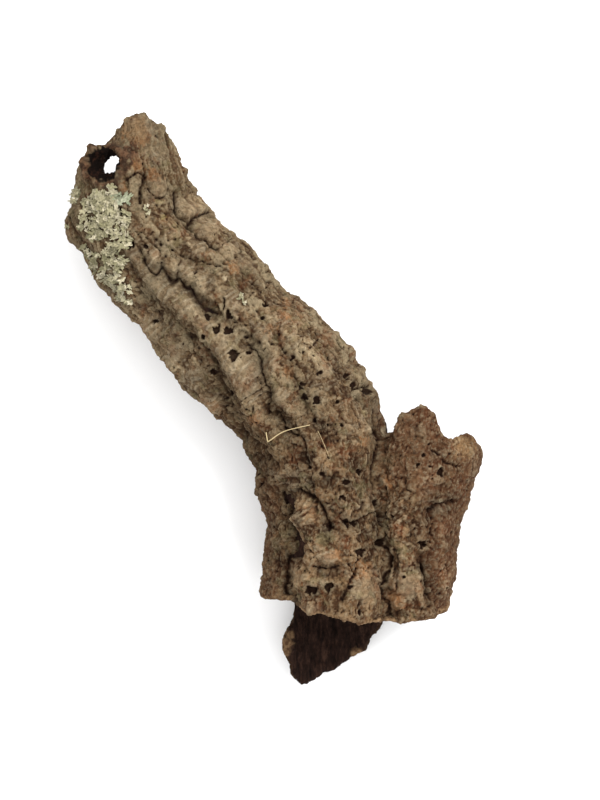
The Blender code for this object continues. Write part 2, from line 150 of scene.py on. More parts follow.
# Ridges along the branch: the crest seen from above, height and half width.
RIDGES = [
    ([(-82, 90), (-72, 77), (-63, 69), (-50, 60), (-38, 49), (-28, 36), (-21, 21), (-13, 7), (-6, -7),
      (2, -20)], 2.1, 7.5),
    ([(-72, 87), (-60, 83), (-51, 78), (-42, 70), (-33, 65), (-22, 56), (-8, 43), (0, 27), (5, 8),
      (13, -6), (23, -20), (27, -36)], 1.8, 5.5),
    ([(-92, 73), (-76, 50), (-58, 26), (-43, 6), (-30, -12)], 2, 6.5),
    ([(-66, 108), (-52, 96), (-37, 88), (-24, 77), (-12, 64), (0, 51), (12, 38), (26, 22), (38, 5),
      (46, -12), (50, -28)], 1.2, 7),
    ([(19, -58), (21, -70), (25, -84), (22, -100), (21, -116)], 1.8, 5.5),
    ([(46, -82), (47, -96), (46, -112), (47, -124)], 1.4, 6.5),
    ([(72, -60), (73, -76), (78, -92), (78, -108), (80, -120)], 1.6, 6.5),
    ([(-3, -58), (2, -72), (3, -86), (1, -100)], 1, 4.5),
    ([(98, -66), (101, -82), (102, -98), (100, -112)], 1.2, 4.5),
]
VALLEY_WIDTH = 4.6
LINE_REACH = 14
LEAN_WIDTH = 1.7
RIB_STEP, FINE_RIB_STEP = 4.6, 1.886
MOUND_RISE, DOME_RISE, RIDGE_RISE = 0.8, 1.5, 0.75
FLARE_Y = -45  # below this the relief is bolder, by these factors
DOME_BOLD, RIDGE_BOLD, LINE_BOLD = 1.35, 1.6, 1.4
PIT_DEPTH, RANDOM_PIT_DEPTH = 2.8, 1.7
SETTLED = 0.9  # the whole outside goes in by this much, so that its bumps end near the CAD surface

# Rounded lobes and plates: x, y, radius and height.
DOMES = [
    (-7, 72, 5.2, 1), (-33, 72, 5.2, 1), (-22, 23, 9.3, 1.2), (-30, 35, 8.1, 1), (-13, 8, 5.8, 1),
    (-6, 41, 7.5, 1.4), (0, 25, 5.2, 1.2), (4, 5, 6.4, 1.4), (11, -3, 5.2, 1), (9, -21, 4.6, 1.2),
    (23, 36, 4.6, 1.2), (21, 26, 4.6, 1.2), (18, 12, 2.9, 1), (89, -15, 5.2, 1), (98, -44, 4.1, 1.2),
    (79, -35, 5.2, 1), (-85, 168, 5.2, 1.2), (-77, 173, 3.5, 1.2), (-66, 165, 4.6, 1.2), (-73, 151, 5.2, 1),
    (-111, 143, 4.1, 1.6), (-107, 151, 3.5, 1.6), (-112, 135, 4.1, 1.4), (-91, 150, 4.1, 1.4),
    (-85, 144, 4.1, 1.2), (-84, 136, 4.1, 1), (-56, 148, 3.5, 1.2), (-52, 141, 3.5, 1.2),
    (-49, 130, 3.5, 1), (24, 55, 3.5, 1.4), (36, 41, 4.1, 1.2), (44, 31, 4.1, 1.4), (52, 20, 4.1, 1.4),
    (58, 6, 4.1, 1.4), (-7, -52, 4.6, 1.6), (1, -83, 5.2, 1), (-89, 128, 2.3, 1.6), (-98, 96, 4.6, 1.2),
    (28, -55, 5.2, 1), (12, -48, 4.1, 1.4), (19, -67, 5.8, 1.2), (43, -99, 4.6, 1), (88, -100, 5.2, 1.2),
    (99, -83, 4.6, 1.2), (100, -30, 4.6, 1), (108, -21, 5.2, 1), (5, -70, 4.1, 1), (39, -44, 4.6, 1),
    (65, -46, 3.5, 1.2), (55, -15, 4.1, 1), (75, -6, 3.5, 1.4), (-61, 41, 5.8, 0.8), (-46, 19, 7, 0.8),
    (-35, 0, 5.2, 0.8), (-76, 52, 4.6, 0.8),
]

# Larger swellings: x, y, half widths in x and y, and height.
MOUNDS = [
    (53, -107, 12, 16, 4.2), (79, -107, 13, 15, 4), (73, -66, 7, 19, 1.8), (46, -57, 9, 7, 1.8),
    (17, -66, 5.5, 15, 2.8), (14, -101, 5.5, 11, 3), (29, -103, 4.5, 4.5, 2.2), (33, -89, 9, 4, 1.8),
    (99, -104, 6, 15, 2), (93, -42, 11, 13, 1.6), (108, -24, 8, 8, 2), (-47, 117, 8, 7, 2.8),
    (-38, 103, 8, 7.5, 3), (-28, 92, 7.5, 7, 2.2), (-17, 84, 6, 6, 1.4), (-67, 129, 7, 5.5, 1.4),
    (-70, 85, 5, 5, 1.6), (-60, 81, 6, 6, 1.8), (-51, 76, 6, 6, 1.8), (-42, 69, 6.5, 6.5, 1.6),
    (20, 33, 7, 7, 1.4), (2, 22, 7, 8, 1.4), (36, -30, 10, 12, 1.2), (3, -35, 9, 9, 1.2),
]

# Where the bark is darker (below 0) or paler, partly its own tone and partly painted shadow beside lobes
# and in hollows: x, y, radius and how much.
TONES_AND_SHADOWS = [
    (8, -56, 8, -3), (7, -68, 6, -2.5), (7, -82, 6, -2.5), (7, -96, 6, -2.5), (31, -44, 7, -2),
    (100, -62, 6, -3.5), (30, -95, 7, -3.2), (23, -108, 5, -3), (90, -104, 5, -2.4), (-87, 151, 8, -2.6),
    (-70, 160, 14, -1.2), (-67, 72, 9, -1.4), (-6, -48, 8, -2.4), (-16, -20, 9, -2.8), (-8, -34, 10, -3),
    (58, 4, 6, -2), (61, -12, 6, -2), (-100, 85, 4, -3), (-84, 93, 5, -2.5), (-75, 62, 8, -1.5),
    (-62, 52, 8, -1.6), (-50, 40, 8, -2), (-37, 25, 7, -2), (-28, 5, 7, -1.5), (-120, 112, 8, -1.2),
    (-116, 95, 6, -1.5), (98, -112, 7, -2), (103, -90, 6, -1.5), (0, -90, 8, -1.5), (16, -30, 8, -1.5),
    (52, -8, 9, 1.8), (53, -107, 10, -1.2), (80, -107, 10, 2.6), (33, -89, 6, 2.4), (-48, 117, 9, 3.2),
    (-38, 104, 9, 3.2), (-28, 93, 8, 2.6), (8, -14, 18, -1.7), (-60, 38, 14, -1), (-44, 12, 12, -1),
    (100, -50, 10, -1.2), (104, -82, 9, -1.2), (0, -72, 10, -1), (37, -79, 9, 1.5), (17, -60, 5, 1),
    (-28, 80, 9, 1), (10, 45, 14, 1.3), (-5, 60, 12, 1), (25, 25, 12, 1), (-40, 95, 10, 0.8),
    (-60, 100, 12, 1),
]

# Where the bark is calm, with growth ribs across the branch in place of crumbs: x, y and radius.
CALM_PLACES = [
    (53, -107, 9), (79, -107, 8), (14, -101, 5), (33, -89, 5), (-12, 21, 8), (-24, 63, 7), (-52, 118, 8.5),
    (-40, 106, 8.5), (-27, 93, 7.5), (-17, 84, 6.5), (-82, 88, 6), (-73, 78, 8), (-63, 69, 10),
    (-50, 60, 10), (-37, 48, 8), (-28, 35, 10), (-21, 21, 11), (-13, 7, 8), (-73, 44, 10), (-60, 31, 9),
    (-48, 15, 9.5), (-38, 0, 8), (-67, 129, 7), (-6, 41, 7), (-2, 25, 6), (4, 5, 6), (-43, 94, 6),
    (-52, 80, 8), (-40, 72, 7), (-70, 84, 6), (-78, 166, 10), (-70, 152, 7),
]

# Smooth plates, without ribs: x, y and radius.
SMOOTH_PLATES = [(-48, 117, 9), (-38, 104, 9), (-28, 93, 7), (-17, 84, 6), (-67, 129, 6),
                 (53, -107, 9), (79, -107, 8), (14, -101, 5)]

# Pits: x, y and radius.
PITS = [
    (-38, 53, 2.3), (-33, 45, 2.7), (-26, 43, 3.1), (-23, 29, 3.3), (-14, 31, 1.7), (-35, 19, 2.2),
    (55, 8, 3.2), (48, 12, 2.2), (19, 5, 2.6), (-26, 53, 2.6), (-26, 6, 1.7), (-41, 40, 1.3),
    (-70, 49, 1.7), (-6, 51, 1.3), (-4, 60, 1.7), (27, 18, 1.7), (26, 3, 2.3), (18, 12, 2.3), (38, 2, 1.7),
    (24, -9, 1.7), (41, -12, 1.3), (33, -12, 1.3), (29, -40, 2.3), (51, -39, 2.3), (43, -45, 2.9),
    (40, -54, 2.3), (61, -58, 2.9), (67, -64, 1.7), (43, -69, 2.6), (48, -69, 2.2), (33, -71, 2.6),
    (-1, -73, 1.7), (51, -86, 3.2), (64, -81, 2.3), (88, -82, 2.9), (99, -40, 2.6), (23, -108, 3.4),
    (32, -106, 3.2), (45, -106, 1.3), (50, -120, 1.3), (89, -30, 1.7), (85, -35, 1.7), (-84, 93, 2.9),
    (-75, 93, 1.7), (-90, 113, 2.3), (-102, 86, 1.7), (-59, 92, 1.3), (12, 28, 1.7), (45, 18, 1.7),
    (-16, 40, 1.3), (8, -56, 3.2), (101, -109, 1.7), (77, -101, 1.5),
]

# Warm patches, where the outer bark has flaked off: x, y and radius.
WARM_PATCHES = [
    (-23, 81, 4.5), (9, 53, 3.5), (10, 19, 4.5), (-35, -1, 3.5), (26, -53, 4.5), (67, -45, 3.6),
    (36, -88, 4.8), (-89, 128, 3.4), (8, 61, 3), (-2, 44, 4), (-11, -9, 4), (66, 45, 3), (54, -21, 3.5),
    (51, -96, 6.5), (72, -114, 5.5), (-80, 160, 9), (-80, 141, 5), (-70, 135, 5),
]
TAN_PATCHES = [(113, -24, 8), (-80, 163, 7), (41, -103, 4), (56, -128, 5)]
LEDGES = [(10, -142, 3), (8, -147, 4), (7, -152, 3.6), (51, -155, 4.5)]  # pale chips on the tongue
CREAM_SPOTS = [(99, -37, 1.4), (100, -57, 1.4), (49, 6, 1.8), (67, -15, 1.8), (-28, 74, 1.7)]
YELLOW_SPOTS = [(-67, 120, 2.3), (-64, 111, 2.3)]

# Lichen: tufts of small leaves, each as x, y and how far its leaves spread.
LICHENS = {
    "lichen_upper": [
        (-109, 118, 4.1), (-92, 112, 2.6), (-102, 119, 5.2), (-97, 122, 4.1), (-105, 113, 3.5),
        (-100, 113, 4.1), (-94, 127, 2.3), (-104, 125, 2.3), (-108, 123, 1.7), (-112, 120, 1.7),
        (-94, 117, 3.5), (-118, 128, 2.6), (-119, 124, 2.3),
    ],
    "lichen_middle": [
        (-113, 108, 3.2), (-109, 104, 3.5), (-105, 107, 3.5), (-100, 104, 4.6), (-95, 102, 4.6),
        (-90, 104, 3.5), (-86, 110, 2.9), (-87, 107, 2.9), (-97, 108, 3.5), (-104, 100, 2.9),
        (-108, 99, 2.3), (-92, 97, 3.5), (-87, 95, 2.9), (-91, 91, 2.9), (-95, 93, 2.3), (-112, 94, 2.3),
        (-109, 91, 2.3), (-85, 99, 2.3), (-101, 109, 2.9), (-124, 107, 1.7),
    ],
    "lichen_lower": [
        (-109, 86, 2.3), (-107, 83, 2.9), (-103, 79, 2.9), (-100, 76, 3.5), (-96, 71, 4), (-98, 88, 2.6),
        (-92, 67, 3.5), (-89, 63, 2.9), (-86, 61, 1.7), (-94, 84, 2.9), (-91, 82, 2.9), (-89, 86, 2.3),
        (-91, 78, 2.3), (-94, 75, 2.3), (-100, 81, 2.3), (-104, 88, 2.3), (-88, 71, 2.3), (-86, 68, 1.7),
    ],
    "lichen_fleck_high": [(-75, 116, 1.9), (-73, 113, 1.2)],
    "lichen_fleck_low": [(-18, 65, 1.2), (-19, 62, 1.8), (-17, 59, 1.4)],
}
BLUE_GREEN = [(-90, 121, 3.2), (-86, 120, 3.2)]
LICHENS["lichen_upper"] += BLUE_GREEN
ABOVE_ALL, LOWEST_LEAF = 400, 8  # heights
LEAF_RADIUS = (1, 1.9)  # the smallest, and how much bigger the biggest is
LEAF_STRETCH = (1.1, 1.7)
LEAF_THICK = 0.25
LEAF_POINTS = 24
LEAF_MAP_SCALE = 0.09
LEAVES_PER_AREA = 1.15
GAP_SIZE, GAP_SHARE = 3, -0.26  # where smooth noise with lumps of this size is lower, no leaf grows

# Dry straws: the line seen from above and the radius at its two ends.
STRAWS = {
    "grass_straw": ([(-3.9, -16.2), (-2.9, -21.6), (-1.6, -20.8), (7, -15.4), (21.7, -11.7)], 0.33, 0.22),
    "grass_fibre": ([(26.3, -15.1), (29, -20.9), (32.6, -29.6)], 0.14, 0.09),
}
STRAW_SIDES = 8
STRAW_GAP = 0.15
STRAW_REACH = 4  # steps each way over which a straw bridges the hollows

# The map that colours are baked on: parts that bend away from each other get their own charts.
UPPER_PART = -8  # the slanted branch lies above this y
UPPER_TURN = math.radians(37)
CHART_GAP = 2.4
INSIDE_SCALE, UNDERSIDE_SCALE = 0.5, 0.6
MAP_WIDTHS = range(240, 640, 10)
WAY_SMOOTHINGS = 25
WAY_WEIGHTS = (1.0, 1.0, 1.3)  # a face counts as facing up or down rather than sideways

# The knothole: its axis down from the top, its radius, its rim's width and how low it reaches.
KNOT_AXIS = ((-99.7, 141.8, 70), (-95.9, 144.2, 56))
KNOT_RADIUS, KNOT_RIM, KNOT_LOW = 11.5, 3, 40
KNOT_SQUEEZE = (0.2, 0.4, 0.3)  # how much narrower it gets in x, y and z
KNOT_SHIFT = (2, 1.2, 0)  # where the squeezed hole lies beside the axis
# Painted shadow beside the knothole, dark reddish brown like its rusty rim: x, y and radius.
KNOT_RIM_SHADOWS = [(-86, 148, 7), (-87, 141, 4.5), (-93, 131, 4), (-98, 129, 3.5)]
# The edge of the saw cut seen from above: x and y.
SAWN_EDGE = [(-100, -116), (10, -116), (12, -120), (33, -123), (60, -128), (94, -128), (101, -124),
             (107, -118), (200, -117)]


# ---- numbers that look random but are the same each run ----
def blank(points):
    """A zero for each point."""
    return np.zeros(len(points), np.float32)


def hashed(cell, seed):
    """A number from 0 to 1 for each lattice cell (whole numbers, one row each)."""
    keys = (374761393, 668265263, 2246822519)
    mixed = np.full(len(cell), (seed * 3266489917 + 374761393) & 0xFFFFFFFF, np.uint32)
    for axis in range(cell.shape[1]):
        mixed = mixed ^ (cell[:, axis].astype(np.uint32) * np.uint32(keys[axis]))
        mixed = (mixed ^ (mixed >> np.uint32(15))) * np.uint32(2246822519)
        mixed = (mixed ^ (mixed >> np.uint32(13))) * np.uint32(3266489917)
    return ((mixed ^ (mixed >> np.uint32(16))) / 4294967295.0).astype(np.float32)


def smooth_noise(points, size, seed):
    """Smooth values from about -1 to 1, in lumps of this size (one number, or one for each axis)."""
    place = points / np.asarray(size, np.float32)
    cell = np.floor(place).astype(np.int64)
    share = (place - cell).astype(np.float32)
    fade = share * share * share * (share * (share * 6 - 15) + 10)
    total = blank(points)
    for corner in np.ndindex(*(2,) * points.shape[1]):
        weight = np.ones(len(points), np.float32)
        slope = blank(points)
        for axis, side in enumerate(corner):
            weight *= fade[:, axis] if side else 1 - fade[:, axis]
            lean = hashed(cell + np.array(corner), seed * 7 + axis) * 2 - 1
            slope += lean * (share[:, axis] - side)
        total += weight * slope
    return total * 1.6


def rough_noise(points, size, seed, octaves=3, fall=0.5):
    """Noise with finer noise on top."""
    total = blank(points)
    strength = 1.0
    size = np.asarray(size, np.float32)
    for octave in range(octaves):
        total += strength * smooth_noise(points, size, seed + octave * 13)
        strength *= fall
        size = size / 2
    return total


def plates(points, size, seed, jitter=0.9):
    """For each point of a plane cut into irregular cells: the distance to the nearest cell border, a
    number of its own for each cell, and the distance to the cell's middle, in cells."""
    place = points / np.asarray(size, np.float32)
    cell = np.floor(place).astype(np.int64)
    first = np.full(len(points), 9.0, np.float32)
    second = first.copy()
    own = blank(points)
    for step in np.ndindex(3, 3):
        around = cell + np.array(step) - 1
        place_in = np.stack([hashed(around, seed), hashed(around, seed + 1)], 1)
        middle = around + 0.5 + jitter * (place_in - 0.5)
        away = np.sqrt(((place - middle) ** 2).sum(1)).astype(np.float32)
        nearer = away < first
        second = np.where(nearer, first, np.minimum(second, away))
        own = np.where(nearer, hashed(around, seed + 2), own)
        first = np.where(nearer, away, first)
    return second - first, own, first


def eased(values, low, high):
    """0 below low, 1 above high, and smooth between them."""
    share = np.clip((values - low) / (high - low), 0, 1)
    return share * share * (3 - 2 * share)


def bell(values, width):
    """1 at zero, falling off over this width."""
    return np.exp(-(values / width) ** 2)


def patchy(points, size, seed, low, high):
    """1 in smooth patches of this size and 0 between them."""
    return eased(smooth_noise(points, size, seed), low, high)


# ---- listed lines, pits and patches ----
def smooth_line(points, step=1.0):
    """Points a step apart on a smooth curve through the given points."""
    rows = np.array([points[0], *points, points[-1]], float)
    made = []
    for a, b, c, d in zip(rows, rows[1:], rows[2:], rows[3:]):
        count = max(1, int(np.linalg.norm(c - b) / step))
        for share in np.arange(count) / count:
            made.append(0.5 * (2 * b + (c - a) * share + (2 * a - 5 * b + 4 * c - d) * share ** 2
                               + (3 * b - a - 3 * c + d) * share ** 3))
    return np.array(made + [rows[-1]], np.float32)


def by_piece(points, line):
    """For each straight piece of a line: its two ends, its run, how far along it each point is (0 to 1)
    and the way from there to the point."""
    axes = points.shape[1]
    for a, b in zip(line, line[1:]):
        run = (b - a)[:axes]
        offset = points - a[:axes]
        share = np.clip(offset @ run / float(np.linalg.norm(run)) ** 2, 0, 1)
        yield a, b, run, share, offset - share[:, None] * run


def nearest_on(points, line):
    """Distance from each point to a line, which side it is on (1 left, -1 right) and the way to it."""
    best = np.full(len(points), 1e9, np.float32)
    side = blank(points)
    way = np.zeros_like(points)
    for a, _, run, _, out in by_piece(points, line):
        away = np.linalg.norm(out, axis=1)
        nearer = away < best
        best = np.where(nearer, away, best)
        turn = np.sign(run[0] * (points[:, 1] - a[1]) - run[1] * (points[:, 0] - a[0]))
        side = np.where(nearer, turn, side)
        way = np.where(nearer[:, None], -out / np.maximum(away, 1e-3)[:, None], way)
    return best, side, way


def near_line(seen, front, line, reach):
    """The numbers of the front's points within reach of a line, and what nearest_on says of them."""
    low, high = line.min(0) - reach, line.max(0) + reach
    near = np.flatnonzero((front > 0) & np.all((seen > low) & (seen < high), axis=1))
    return near, *nearest_on(seen[near], line)


def round_place(points, x, y, wide, long, ragged, low, high):
    """1 in the middle of a round place seen from above, falling to 0 at its ragged edge."""
    away = np.hypot((points[:, 0] - x) / wide, (points[:, 1] - y) / long)
    return 1 - eased(away + ragged, low, high)


def spots(points, places, ragged):
    """1 in the middle of each spot, falling to 0 at its ragged edge."""
    made = blank(points)
    for x, y, radius in places:
        made = np.maximum(made, round_place(points, x, y, radius, radius, ragged, 0.55, 1.15))
    return made


# ---- the shell ----
def new_object(name, data):
    """An object of this mesh, light or camera, in the scene."""
    made = bpy.data.objects.new(name, data)
    bpy.context.scene.collection.objects.link(made)
    return made


def read(items, what, columns=1, kind=np.int32):
    """A number or a row of numbers for each of a mesh's items."""
    found = np.zeros(len(items) * columns, kind)
    items.foreach_get(what, found)
    return found.reshape(-1, columns) if columns > 1 else found


def edges_of(mesh):
    """The two point numbers of each edge."""
    return read(mesh.edges, "vertices", 2)


def shape_of(mesh):
    """The mesh's points and their normals."""
    return [read(mesh.vertices, what, 3, np.float32) for what in ("co", "normal")]


def relaxed(values, edges, times):
    """Each value moved halfway to the mean of its neighbours' values, so many times."""
    columns = values.astype(np.float64).reshape(len(values), -1)
    a, b = edges.T
    count = len(columns)
    degree = np.bincount(a, minlength=count) + np.bincount(b, minlength=count)
    degree = np.maximum(degree, 1)[:, None]
    for _ in range(times):
        totals = [np.bincount(a, column[b], count) + np.bincount(b, column[a], count)
                  for column in columns.T]
        columns = columns + 0.5 * (np.stack(totals, 1) / degree - columns)
    return columns.reshape(values.shape).astype(np.float32)


def along_tube(points, line):
    """For each point, its share of the tube's radius, how far along the tube it is, how far round it,
    the direction straight out from the tube's middle, and the tube's radius there."""
    best = np.full(len(points), 1e9, np.float32)
    along, turn, width = blank(points), blank(points), blank(points)
    out = np.zeros_like(points)
    start = 0.0
    for a, b, run, share, radial in by_piece(points, np.array(line, np.float32)):
        away = np.linalg.norm(radial, axis=1)
        radius = a[3] + share * (b[3] - a[3])
        part = away / radius
        nearer = part < best
        across = np.array([run[1], -run[0], 0]) / math.hypot(run[0], run[1])
        length = float(np.linalg.norm(run))
        best = np.where(nearer, part, best)
        along = np.where(nearer, start + share * length, along)
        turn = np.where(nearer, np.arctan2(radial @ across, radial[:, 2]), turn)
        out = np.where(nearer[:, None], radial / np.maximum(away, 1e-6)[:, None], out)
        width = np.where(nearer, radius, width)
        start += length
    return best, along, turn, out, width


def by_tubes(points):
    """Where the points lie along the branch's tube and along the limb's."""
    return along_tube(points, BRANCH_LINE), along_tube(points, LIMB_LINE)


def faces_out(normals, branch, limb):
    """How far each normal points away from the middle of its tube, from -1 to 1."""
    from_branch, from_limb = (normals * branch[3]).sum(1), (normals * limb[3]).sum(1)
    nearest = np.where(branch[0] < limb[0], from_branch, from_limb)
    between = np.abs(branch[0] - limb[0]) < SEAM
    return np.where(between, np.maximum(from_branch, from_limb), nearest)


def smooth(mesh, times):
    """Even out the mesh's points."""
    points = relaxed(shape_of(mesh)[0], edges_of(mesh), times)
    mesh.vertices.foreach_set("co", points.ravel())
    mesh.update()


def fine_shell(node):
    """A fine, smooth copy of the CAD shell, twice as fine on its outside where that looks up."""
    made = new_object("bark_shell", node.data.copy())
    remesh = made.modifiers.new("fine", "REMESH")
    remesh.mode = "VOXEL"
    remesh.voxel_size = VOXEL
    graph = bpy.context.evaluated_depsgraph_get()
    mesh = bpy.data.meshes.new_from_object(made.evaluated_get(graph))
    made.modifiers.clear()
    smooth(mesh, SMOOTHINGS)

    fine = bmesh.new()
    fine.from_mesh(mesh)
    middles = np.array([f.calc_center_median()[:] for f in fine.faces], np.float32) * MM
    normals = np.array([f.normal[:] for f in fine.faces], np.float32)
    tongue = (middles[:, 1] < TONGUE_Y) & (middles[:, 2] < TONGUE_TOP)
    chosen = (normals[:, 2] > TOP_SLOPE) & ((faces_out(normals, *by_tubes(middles)) > 0) | tongue)
    edges = {edge for face, pick in zip(fine.faces, chosen) if pick for edge in face.edges}
    bmesh.ops.subdivide_edges(fine, edges=list(edges), cuts=1, use_grid_fill=True)
    fine.to_mesh(mesh)
    fine.free()
    smooth(mesh, LAST_SMOOTHINGS)
    made.data = mesh
    return made


def store(mesh, **kinds):
    """Keep numbers for each point, under these names, for the materials to read."""
    for name, values in kinds.items():
        attribute = mesh.attributes.new(name, "FLOAT", "POINT")
        attribute.data.foreach_set("value", values.astype(np.float32))


def carve(mesh):
    """Move the shell's points to make the bark's surface, and store what its material needs."""
    points, normals = shape_of(mesh)
    points *= MM
    at_x, at_y, at_z = points.T
    edges = edges_of(mesh)
    branch, limb = by_tubes(points)
    on_limb = (limb[0] < branch[0]) & ((at_x > CROTCH[0]) | (at_y < CROTCH[1]))
    along = np.where(on_limb, limb[1] + LIMB_START, branch[1])
    girth = np.where(on_limb, limb[2] * LIMB_GIRTH, branch[2] * np.maximum(branch[4], THIN_GIRTH))
    facing = faces_out(normals, branch, limb)
    outside = eased(facing, -0.15, 0.35)
    inside = 1 - eased(facing, -0.35, 0.1)
    bark = np.stack([along, girth], 1).astype(np.float32)

    # Wander shifts every pattern a little, so that no line is straight.
    wander = np.stack([rough_noise(points, 5.0, 31), rough_noise(points, 5.0, 32)], 1)
    sway = wander[:, 0]
    seen = points[:, :2] + 0.9 * wander
    front = eased(normals[:, 2], -0.05, 0.3) * (facing > -0.2)
    ragged = 0.35 * rough_noise(points, 2.2, 51, 2)

    def marked(places, raggedness=1.0, least=0.0):
        return spots(seen, places, raggedness * ragged + least) * front

    calm = marked(CALM_PLACES)
    wild = 1 - 0.9 * calm

    # Long ridges and large lumps.
    height = 1.3 * rough_noise(bark, (48.0, 13.0), 2, 2) + 1.5 * rough_noise(points, 12.0, 1, 2)

    # Plates with rounded backs and open or closed cracks between them.
    border, own, middle = plates(bark + 2.4 * wander, (14.0, 10.0), 5)
    tone = 0.35 * (own - 0.5)
    height += wild * (1.3 * (own - 0.5) + 1.2 * (0.5 - middle)) * eased(border, 0.0, 0.25)
    height -= wild * 1.3 * bell(border, 0.07) * patchy(points, 16.0, 41, -0.15, 0.5)

    # Flaked layers: each has a steep ragged edge and slopes down to the next.
    layer = 2.4 * rough_noise(bark + 1.5 * wander, (19.0, 10.0), 23, 5, 0.55)
    below = np.floor(layer)
    height += wild * 1.25 * (below + eased(layer - below, 0.0, 0.2) - layer)
    tone += 0.55 * (hashed(below[:, None].astype(np.int64), 24) - 0.5)

    # Crumbs of two sizes, with dark gaps between them.
    border, own, middle = plates(bark + 1.4 * wander, (5.6, 4.4), 9)
    gap = bell(border, 0.13) * patchy(points, 8.0, 43, -0.3, 0.3)
    tone += 0.45 * (own - 0.5) * (0.4 + 0.6 * wild)
    height += wild * (0.9 * (own - 0.5) + 0.9 * (0.5 - middle) - 0.5 * gap)
    border, own, middle = plates(bark + 0.8 * wander, (2.7, 2.3), 11)
    gap = bell(border, 0.15) * patchy(points, 5.0, 46, -0.4, 0.3)
    tone += 0.3 * (own - 0.5) * (0.3 + 0.7 * wild)
    height += (0.25 + 0.75 * wild) * (0.25 * (own - 0.5) + 0.25 * (0.5 - middle) - 0.2 * gap)

    # Thin cracks along the branch, and growth ribs across it on the calm ridges.
    grain = rough_noise(bark + wander, (13.0, 4.0), 17)
    height -= 0.6 * wild * bell(grain, 0.09) * patchy(points, 14.0, 44, 0.05, 0.5)
    turn = 2 * math.pi * (along + 0.8 * sway + 4.0 * smooth_noise(points, 11.0, 48))
    ribs = eased(0.7 * np.sin(turn / RIB_STEP) + 0.35 * np.sin(turn / FINE_RIB_STEP), -0.6, 1.0)
    ribbed = np.maximum(calm, 0.6 * patchy(points, 17.0, 45, 0.15, 0.6))
    ribbed *= 0.35 + 0.65 * patchy(points, 4.0, 49, -0.3, 0.3)
    ribbed *= 1 - 0.85 * marked(SMOOTH_PLATES)
    height += 0.55 * ribs * ribbed

    # Listed lobes, ridges and furrows. A lobe that leans hangs over the furrow beside it.
    # The swellings, ridges and valleys are also summed, with the listed tones, for the material: painted
    # light on raised places and painted shade in valleys and beside lobes.
    form = np.zeros_like(height)
    for x, y, wide, long, rise in MOUNDS:
        form += MOUND_RISE * rise * round_place(seen, x, y, wide, long, 0.25 * ragged, 0.15, 1.1)
    height += front * form
    for x, y, radius, change in TONES_AND_SHADOWS:
        form += change * round_place(seen, x, y, radius, radius, 0.5 * ragged, 0.2, 1.3)
    for x, y, radius, rise in DOMES:
        bold = DOME_RISE * (DOME_BOLD if y < FLARE_Y else 1)
        dome = round_place(seen, x, y, radius, radius, 0.4 * ragged, 0.2, 1.1)
        height += front * bold * rise * dome
    for crest, rise, half_width in RIDGES:
        near, away, _, _ = near_line(seen, front, smooth_line(crest, 3.0), 2.5 * half_width)
        bold = RIDGE_RISE * (RIDGE_BOLD if crest[0][1] < FLARE_Y else 1)
        swell = front[near] * bold * rise * bell(away, half_width)
        form[near] += swell
        height[near] += swell
    shift = np.zeros_like(points)
    for line, half_width, depth, valley, lean in LINES:
        near, away, side, way = near_line(seen, front, smooth_line(line), LINE_REACH)
        shown, over = front[near], side * lean > 0
        width = half_width * (1 + 0.4 * wander[near, 1])
        bold = LINE_BOLD if line[0][1] < FLARE_Y else 1
        sink = shown * bold * valley * bell(away, VALLEY_WIDTH)
        form[near] -= sink
        height[near] -= sink + shown * depth * bell(away, width)
        hangs = over * abs(lean) * eased(away, 0.0, 0.6) * bell(away, LEAN_WIDTH)
        shift[near, :2] += (shown * hangs)[:, None] * way
        height[near] += shown * 0.6 * over * np.exp(-away / 3.0) * eased(away, 0.0, 1.0)

    # Pits, listed and at random, and the grain of the surface.
    pit = marked(PITS, 1.7, 0.12)
    _, own, middle = plates(bark + wander, (6.0, 5.2), 21)
    random_pit = (own > 0.77) * (1 - eased(middle + 0.9 * ragged, 0.06, 0.24)) * wild
    height -= PIT_DEPTH * pit + RANDOM_PIT_DEPTH * random_pit * patchy(points, 12.0, 47, -0.2, 0.4)
    height += 0.28 * rough_noise(points, 2.8, 61) * (0.5 + 0.5 * wild)
    height = outside * (height - SETTLED)

    # Inside, fibres run along the tube. Broken edges are crumbly.
    strands = np.stack([along + 3 * sway, girth + 0.8 * wander[:, 1]], 1)
    fibres = 1.1 * rough_noise(strands, (24.0, 2.6), 71, 4)
    height += inside * (fibres + 0.9 * rough_noise(points, 7.0, 73))
    broken = np.clip(1 - outside - inside, 0, 1)
    height += broken * 1.3 * rough_noise(points, 4.4, 81)

    # The knothole is a ragged funnel that narrows downwards.
    top, floor = np.array(KNOT_AXIS)
    axis = (floor - top) / np.linalg.norm(floor - top)
    offset = points - top
    deep = offset @ axis
    radial = offset - deep[:, None] * axis
    from_axis = np.linalg.norm(radial, axis=1)
    upper_wall = at_z > KNOT_LOW
    # in_knot also marks where the material paints the hole's inside near black, as painted shade.
    in_knot = (1 - eased(from_axis + 2.0 * sway, 8.5, KNOT_RADIUS)) * upper_wall
    on_rim = bell(from_axis - KNOT_RADIUS, KNOT_RIM) * (at_z > KNOT_LOW + 10)
    height += on_rim * (0.4 + rough_noise(points, 4.4, 93, 4, 0.6))
    height += in_knot * rough_noise(points, 4.0, 94)
    squeeze = (1 - eased(from_axis, 6.5, 11.0)) * eased(deep, -6.0, 6.0) * upper_wall
    narrowing = squeeze * (1 + 0.8 * rough_noise(points, 5.0, 91, 2))
    shift += squeeze[:, None] * KNOT_SHIFT - radial * narrowing[:, None] * KNOT_SQUEEZE

    height = relaxed(height, edges, 1)
    moved = points + normals * height[:, None] + shift
    moved[:, 2] = np.maximum(moved[:, 2], 0.0)
    mesh.vertices.foreach_set("co", (moved / MM).ravel())

